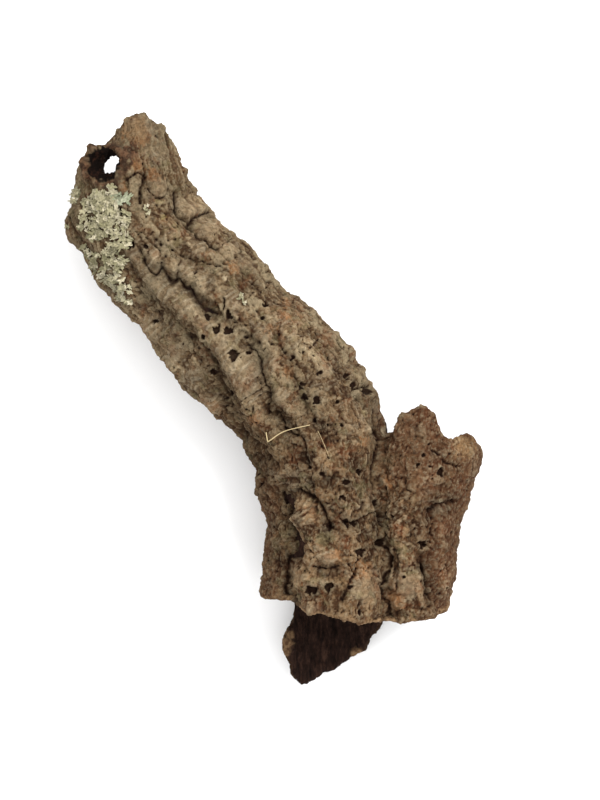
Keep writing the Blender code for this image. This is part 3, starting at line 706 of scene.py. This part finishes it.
    # What the material needs to know.
    fine_hollow = relaxed(height, edges, 8) - height
    wide_hollow = relaxed(height, edges, 70) - height
    # The knothole's rim is rusty brown in patches, and painted shadow darkens the bark beside the hole.
    rim_rust_and_shade = on_rim * eased(rough_noise(points, 6.0, 95), -0.5, 0.2)
    rim_rust_and_shade = np.maximum(rim_rust_and_shade, marked(KNOT_RIM_SHADOWS, 2.0))
    reddish = eased(at_x + 3.0 * sway - 25 * eased(-at_y, 35, 60), 56, 72)
    left_side = eased(6.0 + 3.0 * sway - at_x, 0, 10) * eased(-at_y, 30, 55)
    edge = np.interp(at_x, *np.array(SAWN_EDGE, float).T)
    low_end = eased(-at_y, 122, 130) * (at_z < TONGUE_TOP + 8)
    all_tufts = [(x, y, 1.25 * spread) for tufts in LICHENS.values() for x, y, spread in tufts]
    store(
        mesh, rib=ribbed * ribs, calm=calm, inside=inside, broken=broken, knot=in_knot, pit=pit,
        # hollow, valley and pit also mark where the material darkens the bark with painted shade as well as
        # dirt, and crest where it paints a highlight.
        hollow=np.clip(fine_hollow / 0.8, 0, 1),
        crumb=np.clip(-fine_hollow / 0.5, 0, 1),
        valley=np.clip(wide_hollow / 1.9, 0, 1),
        crest=np.clip(-wide_hollow / 1.8, 0, 1),
        form=np.clip(0.5 + form / 8.0, 0, 1),
        tone=np.clip(0.5 + tone, 0, 1),
        warm=marked(WARM_PATCHES, 2.0), tan=marked(TAN_PATCHES, 2.0),
        cream=marked(CREAM_SPOTS), yellow=marked(YELLOW_SPOTS, 1.5), shaded=marked(all_tufts),
        limb=reddish * eased(-at_y, -20, 0) + 0.8 * left_side,
        down=eased(-at_y, -60, 60),
        sawn=1 - eased(at_y - edge + 2.2 * sway + 1.5 * wander[:, 1], 0.0, 2.8),
        rim=rim_rust_and_shade * (1 - in_knot),
        ledge=spots(points, LEDGES, 0.6 * ragged) * (at_z < TONGUE_TOP),
        tongue=low_end * (1 - spots(points, LEDGES, ragged)),
    )
    mesh.update()
    mesh.polygons.foreach_set("use_smooth", np.ones(len(mesh.polygons), bool))


# ---- the map for baked colours ----
def joined_groups(pairs, count):
    """The lowest face number in each face's group, where pairs of faces belong together."""
    group = np.arange(count)
    while True:
        first, second = group[pairs[:, 0]], group[pairs[:, 1]]
        low = np.minimum(first, second)
        merged = group.copy()
        np.minimum.at(merged, first, low)
        np.minimum.at(merged, second, low)
        while not np.array_equal(merged, merged[merged]):
            merged = merged[merged]
        if np.array_equal(merged, group):
            return group
        group = merged


def on_shelves(sizes, width):
    """Places for boxes in rows of this width, tallest first, and the height that they fill."""
    places = np.zeros_like(sizes)
    x = y = row = 0.0
    for k in np.argsort(-sizes[:, 1], kind="stable"):
        wide, high = sizes[k]
        if x and x + wide > width:
            x, y, row = 0.0, y + row, 0.0
        places[k] = x, y
        x, row = x + wide, max(row, high)
    return places, y + row


def bake_map(mesh):
    """Flat charts for the shell that don't overlap: one for each patch that faces one way."""
    points, normals = shape_of(mesh)
    points *= MM
    ways = relaxed(normals, edges_of(mesh), WAY_SMOOTHINGS)
    starts = read(mesh.polygons, "loop_start")
    corner = read(mesh.loops, "vertex_index")
    side = read(mesh.loops, "edge_index")
    counts = np.diff(np.append(starts, len(corner)))
    face_of = np.repeat(np.arange(len(starts)), counts)

    middle = np.add.reduceat(points[corner], starts, axis=0) / counts[:, None]
    way = np.add.reduceat(ways[corner], starts, axis=0)
    inner = faces_out(way, *by_tubes(middle)) < 0
    upper = middle[:, 1] > UPPER_PART
    angle = np.where(upper, UPPER_TURN, 0.0)

    def turned(rows, angles):
        sine, cosine = np.sin(angles), np.cos(angles)
        return np.stack([rows[:, 0] * cosine + rows[:, 1] * sine,
                         rows[:, 1] * cosine - rows[:, 0] * sine, rows[:, 2]], 1)

    way = turned(way, angle) * WAY_WEIGHTS
    axis = np.argmax(np.abs(way), axis=1)
    faces_down = way[np.arange(len(way)), axis] < 0
    kind = axis + 3 * faces_down + 6 * inner + 12 * upper

    order = np.argsort(side, kind="stable")
    shared = side[order][1:] == side[order][:-1]
    pairs = np.stack([face_of[order][:-1][shared], face_of[order][1:][shared]], 1)
    pairs = pairs[kind[pairs[:, 0]] == kind[pairs[:, 1]]]
    _, first_face, chart = np.unique(joined_groups(pairs, len(starts)), return_index=True,
                                     return_inverse=True)

    placed = turned(points[corner], angle[face_of])
    flat = np.where((axis == 2)[face_of][:, None], placed[:, :2],
                    np.where((axis == 0)[face_of][:, None], placed[:, 1:], placed[:, ::2]))
    scale = np.where(inner, INSIDE_SCALE, np.where((axis == 2) & faces_down, UNDERSIDE_SCALE, 1.0))
    flat = flat * scale[face_of][:, None]
    chart_of = chart[face_of]
    low = np.full((len(first_face), 2), 1e9)
    high = -low
    for k in (0, 1):
        np.minimum.at(low[:, k], chart_of, flat[:, k])
        np.maximum.at(high[:, k], chart_of, flat[:, k])
    sizes = high - low
    upright = sizes[:, 1] > sizes[:, 0]
    flat = flat - low[chart_of]
    flat = np.where(upright[chart_of][:, None], flat[:, ::-1], flat)
    sizes = np.where(upright[:, None], sizes[:, ::-1], sizes) + CHART_GAP
    tries = [on_shelves(sizes, width) + (width,) for width in MAP_WIDTHS]
    places, filled, width = min(tries, key=lambda made: max(made[1], made[2]))
    flat = (flat + places[chart_of] + CHART_GAP / 2) / max(filled, width)
    layer = mesh.uv_layers.new(name="OFBake")
    layer.data.foreach_set("uv", flat.astype(np.float32).ravel())


# ---- lichens and straws ----
def surface_under(tree, x, y):
    """The highest point of the bark here, in millimetres, and its normal."""
    return tree.ray_cast(Vector((x, y, ABOVE_ALL)), Vector((0, 0, -1)))[:2]


def mesh_of(name, points, faces):
    """A mesh of points in millimetres."""
    mesh = bpy.data.meshes.new(name)
    mesh.from_pydata([point / MM for point in points], [], faces)
    return mesh


def leaf_shape(rng, radius):
    """One ragged cupped leaf: its points round the origin, for the top and then the underside."""
    lobes = rng.randint(4, 6)
    stretch = rng.uniform(*LEAF_STRETCH)
    phase = rng.uniform(0, 2 * math.pi)
    reach = [rng.uniform(0.75, 1.15) for _ in range(lobes)]
    cup, wave, wave_phase = rng.uniform(0.05, 0.35), rng.uniform(0.05, 0.18), rng.uniform(0, 6)
    rim = []
    for k in range(LEAF_POINTS):
        angle = 2 * math.pi * k / LEAF_POINTS
        turn = (lobes * (angle + phase) / (2 * math.pi)) % lobes
        lobe = abs(math.sin(math.pi * (turn % 1.0))) ** 0.6
        length = radius * (0.28 + 0.72 * lobe * reach[int(turn)]) * rng.uniform(0.9, 1.1)
        lift = radius * (cup + wave * math.sin(3 * angle + wave_phase))
        rim.append((stretch * length * math.cos(angle), length * math.sin(angle) / stretch, lift))
    half = [(0.55 * x, 0.55 * y, 0.25 * z) for x, y, z in rim]
    below = [(0.95 * x, 0.95 * y, z - LEAF_THICK) for x, y, z in rim + half]
    return [(0.0, 0.0, 0.0)] + half + rim + below + [(0.0, 0.0, -LEAF_THICK)]


def leaf_faces(first):
    """The faces of one leaf whose points start at this number."""
    n = LEAF_POINTS
    rings = [first + 1 + k * n for k in range(4)]
    made = []
    for k in range(n):
        m = (k + 1) % n
        made.append((first, rings[0] + k, rings[0] + m))
        made += [(a + k, b + k, b + m, a + m) for a, b in zip(rings, rings[1:])]
        made.append((rings[3] + k, rings[3] + n, rings[3] + m))
    return made


def lichen(name, tufts, tree):
    """A tuft of small lobed leaves on the bark round each place."""
    rng = random.Random(name)
    leaves = []
    biggest = 0.6 * max(spread for _, _, spread in tufts)
    for tuft in tufts:
        x, y, spread = tuft
        for _ in range(max(3, round(LEAVES_PER_AREA * spread ** 2))):
            away, turn = spread * math.sqrt(rng.random()), rng.uniform(0, 2 * math.pi)
            place = np.array([[x + away * math.cos(turn), y + away * math.sin(turn)]], np.float32)
            if smooth_noise(place, GAP_SIZE, 101)[0] > GAP_SHARE or spread < GAP_SIZE:
                leaves.append((*place[0].tolist(), tuft in BLUE_GREEN))
    rows = math.ceil(math.sqrt(2 * len(leaves)))
    points, faces, facts = [], [], []
    for number, (x, y, blue) in enumerate(leaves):
        hit, normal = surface_under(tree, x, y)
        radius = min(LEAF_RADIUS[0] + LEAF_RADIUS[1] * rng.random() ** 1.5, biggest)
        shape = leaf_shape(rng, radius)
        tilt = Vector((rng.uniform(-1, 1), rng.uniform(-1, 1), 0)) * 0.35
        lift, shade = rng.uniform(0.45, 1.7), rng.random()
        if hit is None or hit.z < LOWEST_LEAF:
            continue
        up = (normal + Vector((0, 0, 1.3)) + tilt).normalized()
        turn = up.to_track_quat("Z", "Y").to_matrix() @ Matrix.Rotation(rng.uniform(0, math.pi), 3, "Z")
        faces += leaf_faces(len(points))
        for k, point in enumerate(shape):
            points.append(hit + lift * up + turn @ Vector(point))
            under = k > 2 * LEAF_POINTS
            column, row = divmod(2 * number + under, rows)
            facts.append((shade, under, blue, (column + 0.5 + LEAF_MAP_SCALE * point[0]) / rows,
                          (row + 0.5 + LEAF_MAP_SCALE * point[1]) / rows))
    mesh = mesh_of(name, points, faces)
    facts = np.array(facts, np.float32)
    store(mesh, shade=facts[:, 0], under=facts[:, 1], blue=facts[:, 2])
    layer = mesh.uv_layers.new(name="OFBake")
    layer.data.foreach_set("uv", facts[read(mesh.loops, "vertex_index"), 3:].ravel())
    return new_object(name + "_leaves", mesh)


def straw(name, line, thick, thin, tree):
    """A thin tapered stalk that lies over the bark's bumps."""
    path = smooth_line(line, 0.8)
    heights = []
    for x, y in path:
        hit, _ = surface_under(tree, float(x), float(y))
        heights.append(hit.z if hit else 0.0)
    reach = [slice(max(0, k - STRAW_REACH), k + STRAW_REACH + 1) for k in range(len(path))]
    over = [max(heights[near]) for near in reach]
    middles = [Vector((x, y, sum(over[near]) / len(over[near]) + thick + STRAW_GAP))
               for (x, y), near in zip(path, reach)]
    points, faces = [], []
    for k, middle in enumerate(middles):
        ahead = middles[min(k + 1, len(middles) - 1)] - middles[max(k - 1, 0)]
        side = ahead.cross(Vector((0, 0, 1))).normalized()
        up = side.cross(ahead).normalized()
        radius = thick + (thin - thick) * k / (len(middles) - 1)
        for corner in range(STRAW_SIDES):
            turn = 2 * math.pi * corner / STRAW_SIDES
            points.append(middle + radius * (math.cos(turn) * side + math.sin(turn) * up))
    for k in range(len(middles) - 1):
        for corner in range(STRAW_SIDES):
            a, b = k * STRAW_SIDES + corner, k * STRAW_SIDES + (corner + 1) % STRAW_SIDES
            faces.append((a, b, b + STRAW_SIDES, a + STRAW_SIDES))
    faces.append(tuple(range(STRAW_SIDES)))
    faces.append(tuple(reversed(range(len(points) - STRAW_SIDES, len(points)))))
    mesh = mesh_of(name, points, faces)
    mesh.polygons.foreach_set("use_smooth", np.ones(len(mesh.polygons), bool))
    return new_object(name + "_stalk", mesh)


# ---- materials ----
class Nodes:
    """Short ways to add and link shader nodes in one material."""

    def __init__(self, name, roughness):
        self.material = bpy.data.materials.new(name)
        self.material.use_nodes = True
        self.tree = self.material.node_tree
        self.shader = self.tree.nodes["Principled BSDF"]
        self.shader.inputs["Roughness"].default_value = roughness
        self.shader.inputs["Specular IOR Level"].default_value = SHEEN
        self.place = self.add("ShaderNodeTexCoord").outputs["Object"]

    def add(self, kind, **settings):
        node = self.tree.nodes.new(kind)
        for name, value in settings.items():
            setattr(node, name, value)
        return node

    def link(self, value, socket):
        """Link a node's output or an attribute of this name to a socket, or set a number or colour."""
        if isinstance(value, str):
            value = self.add("ShaderNodeAttribute", attribute_name=value).outputs["Fac"]
        if isinstance(value, bpy.types.NodeSocket):
            self.tree.links.new(value, socket)
        elif hasattr(value, "__len__"):
            socket.default_value = (*value, 1.0)[:4]
        else:
            socket.default_value = value

    def noise(self, size, detail, rough, seed=0.0, stretch=(1, 1, 1)):
        """Noise from 0 to 1 with lumps of this size in metres."""
        place = self.add("ShaderNodeMapping")
        self.link(self.place, place.inputs["Vector"])
        place.inputs["Location"].default_value = (seed, seed * 1.7, -seed)
        place.inputs["Scale"].default_value = stretch
        node = self.add("ShaderNodeTexNoise")
        sockets = ("Vector", "Scale", "Detail", "Roughness")
        for socket, value in zip(sockets, (place.outputs["Vector"], 1.0 / size, detail, rough)):
            self.link(value, node.inputs[socket])
        return node.outputs["Fac"]

    def ramp(self, value, low, high, start=0.0, end=1.0):
        """start below low, end above high, and smooth between them."""
        node = self.add("ShaderNodeMapRange", interpolation_type="SMOOTHSTEP")
        self.link(value, node.inputs["Value"])
        for name, number in zip(("From Min", "From Max", "To Min", "To Max"), (low, high, start, end)):
            node.inputs[name].default_value = number
        return node.outputs["Result"]

    def colours(self, value, *stops):
        """A colour from a value, through stops of (place, colour)."""
        node = self.add("ShaderNodeValToRGB")
        self.link(value, node.inputs["Fac"])
        elements = node.color_ramp.elements
        while len(elements) < len(stops):
            elements.new(0.5)
        for element, (place, colour) in zip(elements, stops):
            element.position = place
            element.color = (*colour, 1.0)
        return node.outputs["Color"]

    def mix(self, share, first, second, mode="MIX"):
        """first where share is 0, second where it is 1."""
        node = self.add("ShaderNodeMix", data_type="RGBA", blend_type=mode)
        self.link(share, node.inputs["Factor"])
        self.link(first, node.inputs[6])
        self.link(second, node.inputs[7])
        return node.outputs[2]

    def times(self, colour, factor):
        return self.mix(1.0, colour, factor, "MULTIPLY")

    def combine(self, first, second, operation="MULTIPLY"):
        """Two values multiplied, or put together by another operation."""
        node = self.add("ShaderNodeMath", operation=operation)
        self.link(first, node.inputs[0])
        self.link(second, node.inputs[1])
        return node.outputs[0]

    def coats(self, colour, *coats):
        """A colour under others: each coat is what places it, its strength and its colour."""
        for place, strength, coat in coats:
            colour = self.mix(self.combine(place, strength), colour, coat)
        return colour

    def mottled(self, size, rough, seed, low, high, first, second):
        """Two colours in patches of this size in metres."""
        return self.mix(self.ramp(self.noise(size, 4.0, rough, seed), low, high), first, second)

    def finish(self, colour, bumps, bump_height):
        """Give the shader its colour and its fine bumps."""
        node = self.add("ShaderNodeBump")
        node.inputs["Strength"].default_value = 1.0
        node.inputs["Distance"].default_value = bump_height
        self.link(bumps, node.inputs["Height"])
        self.link(node.outputs["Normal"], self.shader.inputs["Normal"])
        self.link(colour, self.shader.inputs["Base Color"])
        return self.material


def bark_material():
    """Weathered cork outside, dark fibres inside, fresh tan cork at the saw cut."""
    n = Nodes("bark", 0.95)
    broad = n.noise(0.022, 5.0, 0.65)
    broad = n.combine(n.combine(broad, 0.5), n.combine("tone", 0.5), "ADD")
    skin = n.colours(broad, (0.3, (0.045, 0.023, 0.011)), (0.43, (0.084, 0.05, 0.024)),
                     (0.55, (0.136, 0.091, 0.049)), (0.7, (0.214, 0.163, 0.096)))
    brown = n.colours(broad, (0.3, (0.024, 0.01, 0.0039)), (0.47, (0.057, 0.027, 0.012)),
                      (0.68, (0.136, 0.079, 0.038)))
    skin = n.mix(n.ramp("down", 0.0, 1.0, 0.0, 0.9), skin, brown)
    russet = n.ramp(n.noise(0.013, 5.0, 0.7, 3.1), 0.51, 0.64)
    moss = n.ramp(n.noise(0.011, 5.0, 0.7, 6.3), 0.54, 0.64)
    crust = n.ramp(n.noise(0.0042, 4.0, 0.75, 7.7), 0.56, 0.66)
    # crest makes the broad crests paler: partly worn bark, partly painted highlight.
    skin = n.coats(
        skin, (russet, 0.5, (0.114, 0.04, 0.016)), (moss, 0.6, (0.124, 0.099, 0.049)),
        ("limb", 0.65, (0.081, 0.032, 0.0145)), ("warm", 0.65, (0.2, 0.093, 0.038)),
        ("tan", 0.6, (0.227, 0.14, 0.067)), ("yellow", 0.6, (0.188, 0.146, 0.056)),
        ("cream", 0.9, (0.34, 0.27, 0.17)), ("calm", 0.4, (0.147, 0.105, 0.061)),
        (crust, 0.4, (0.223, 0.182, 0.118)), ("rib", 0.5, (0.286, 0.237, 0.161)),
        ("crest", 0.45, (0.209, 0.157, 0.094)), ("crumb", 0.4, (0.243, 0.19, 0.12)))
    speckle = n.ramp(n.noise(0.002, 4.0, 0.75, 1.9), 0.34, 0.66, 0.7, 1.3)
    skin = n.times(skin, speckle)
    pores = n.ramp(n.noise(0.0034, 3.0, 0.7, 4.4), 0.34, 0.4, 0.5, 0.0)
    # Painted light and shade from the relief: swellings and ridges paler, valleys darker, with the listed
    # tones, some of them painted shadows.
    light = n.ramp("form", 0.2, 0.85, 0.6, 1.17)
    skin = n.times(skin, light)
    skin = n.coats(skin, ("shaded", 0.65, (0.027, 0.014, 0.007)))
    # Darker in wide valleys, thin cracks and pits: partly dark weathered bark, partly painted shade. The
    # pores are the bark's own dark dots.
    dirt_and_shade = n.combine(n.ramp("valley", 0.05, 0.8, 0.0, 0.68), n.ramp("hollow", 0.16, 0.8), "MAXIMUM")
    dirt_and_shade = n.combine(dirt_and_shade, n.ramp("pit", 0.12, 0.6, 0.0, 0.94), "MAXIMUM")
    skin = n.mix(n.combine(dirt_and_shade, pores, "MAXIMUM"), skin, (0.01, 0.004, 0.0021))

    fibre = n.noise(0.0038, 6.0, 0.75, 5.0, (1.0, 0.3, 1.0))
    inner = n.colours(fibre, (0.36, (0.006, 0.0034, 0.0026)), (0.52, (0.018, 0.009, 0.0064)),
                      (0.7, (0.052, 0.027, 0.018)))
    raw = n.colours(n.noise(0.004, 4.0, 0.65, 9.0), (0.35, (0.042, 0.017, 0.0079)),
                    (0.6, (0.138, 0.071, 0.034)))
    raw = n.coats(raw, ("tongue", 0.9, (0.015, 0.006, 0.0032)))
    cork = n.coats(skin, ("tongue", 0.8, (0.016, 0.007, 0.0038)), ("broken", 0.8, raw))
    cork = n.mix("inside", cork, inner)
    rim = n.ramp("inside", 0.2, 0.8, 0.85, 0.0)
    rim = n.combine(rim, n.ramp("tongue", 0.0, 0.5, 1.0, 0.0))
    cut = n.mottled(0.004, 0.75, 11.0, 0.4, 0.6, (0.07, 0.033, 0.015), (0.27, 0.172, 0.09))
    # Rusty brown of the knothole's rim, also used for the painted shadow beside the hole.
    rust_and_shade = n.mottled(0.005, 0.7, 15.0, 0.42, 0.62, (0.02, 0.0085, 0.0055), (0.11, 0.055, 0.03))
    # Painted shade deep in the knothole: near black with dark reddish mottles.
    well = n.mottled(0.0045, 0.7, 13.0, 0.5, 0.72, (0.004, 0.0022, 0.0015), (0.03, 0.012, 0.007))
    chip = n.mottled(0.003, 0.7, 17.0, 0.35, 0.65, (0.07, 0.036, 0.018), (0.19, 0.118, 0.062))
    cork = n.coats(cork, ("sawn", rim, cut), ("rim", 0.85, rust_and_shade))
    cork = n.mix(n.ramp("knot", 0.05, 0.7), cork, well)
    cork = n.coats(cork, ("ledge", 0.9, chip))
    return n.finish(cork, n.noise(0.002, 6.0, 0.75, 1.9), 0.001)


def lichen_material():
    """Pale grey-green and cream leaves, dark below."""
    n = Nodes("lichen", 0.9)
    pale = n.colours("shade", (0.0, (0.205, 0.188, 0.106)), (0.5, (0.345, 0.312, 0.198)),
                     (1.0, (0.5, 0.45, 0.325)))
    pale = n.coats(pale, ("blue", 0.7, (0.235, 0.265, 0.18)))
    mottle = n.ramp(n.noise(0.0016, 3.0, 0.7, 2.2), 0.35, 0.65, 0.72, 1.15)
    pale = n.times(pale, mottle)
    pale = n.mix("under", pale, (0.03, 0.02, 0.012))
    return n.finish(pale, n.noise(0.0012, 4.0, 0.7, 3.3), 0.0004)


def straw_material():
    """Dry pale grass."""
    n = Nodes("straw", 0.6)
    n.shader.inputs["Base Color"].default_value = (0.46, 0.36, 0.2, 1.0)
    return n.material


# ---- stage ----
def camera():
    """Looks straight down on the piece."""
    data = bpy.data.cameras.new("camera")
    data.lens = LENS
    data.clip_end = CLIP_END
    made = new_object("camera", data)
    made.location = CAMERA
    bpy.context.scene.camera = made


def area_light(name, place, aim, size, power):
    """A square soft light that faces aim."""
    data = bpy.data.lights.new(name, "AREA")
    data.size = size
    data.energy = power
    made = new_object(name, data)
    made.location = place
    made.rotation_euler = (Vector(aim) - Vector(place)).to_track_quat("-Z", "Y").to_euler()


def studio():
    """A plain pale floor, a soft key light from the upper right and a soft fill all round."""
    world = bpy.data.worlds.new("studio")
    bpy.context.scene.world = world
    world.use_nodes = True
    background = world.node_tree.nodes["Background"]
    background.inputs["Color"].default_value = (1.0, 1.0, 1.0, 1.0)
    background.inputs["Strength"].default_value = FILL_STRENGTH
    area_light("key", *KEY_LIGHT)
    area_light("overhead", *OVERHEAD_LIGHT)

    bpy.ops.mesh.primitive_plane_add(size=FLOOR_SIZE)
    floor = bpy.context.object
    floor.name = "floor"
    n = Nodes("floor", 0.9)
    n.shader.inputs["Base Color"].default_value = (0.93, 0.93, 0.93, 1.0)
    floor.data.materials.append(n.material)
    bpy.context.scene.view_settings.view_transform = "Standard"


# ---- putting it together ----
def finish_piece(piece, slot, *nodes):
    """Attach a piece to the one body, in place of its CAD nodes."""
    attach(piece, "root")
    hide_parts(*nodes)


camera()
studio()
shell = fine_shell(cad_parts["cork_bark"])
bake_map(shell.data)
carve(shell.data)
shell.data.materials.clear()
shell.data.materials.append(bark_material())
finish_piece(shell, "cork", "cork_bark")

grown_on = BVHTree.FromPolygons([v.co * MM for v in shell.data.vertices],
                                [tuple(p.vertices) for p in shell.data.polygons])
leaf_colours = lichen_material()
for name, tufts in LICHENS.items():
    leaves = lichen(name, tufts, grown_on)
    leaves.data.materials.append(leaf_colours)
    finish_piece(leaves, "lichen", name)
dry = straw_material()
for name, (line, thick, thin) in STRAWS.items():
    stalk = straw(name, line, thick, thin, grown_on)
    stalk.data.materials.append(dry)
    finish_piece(stalk, "straw", name)
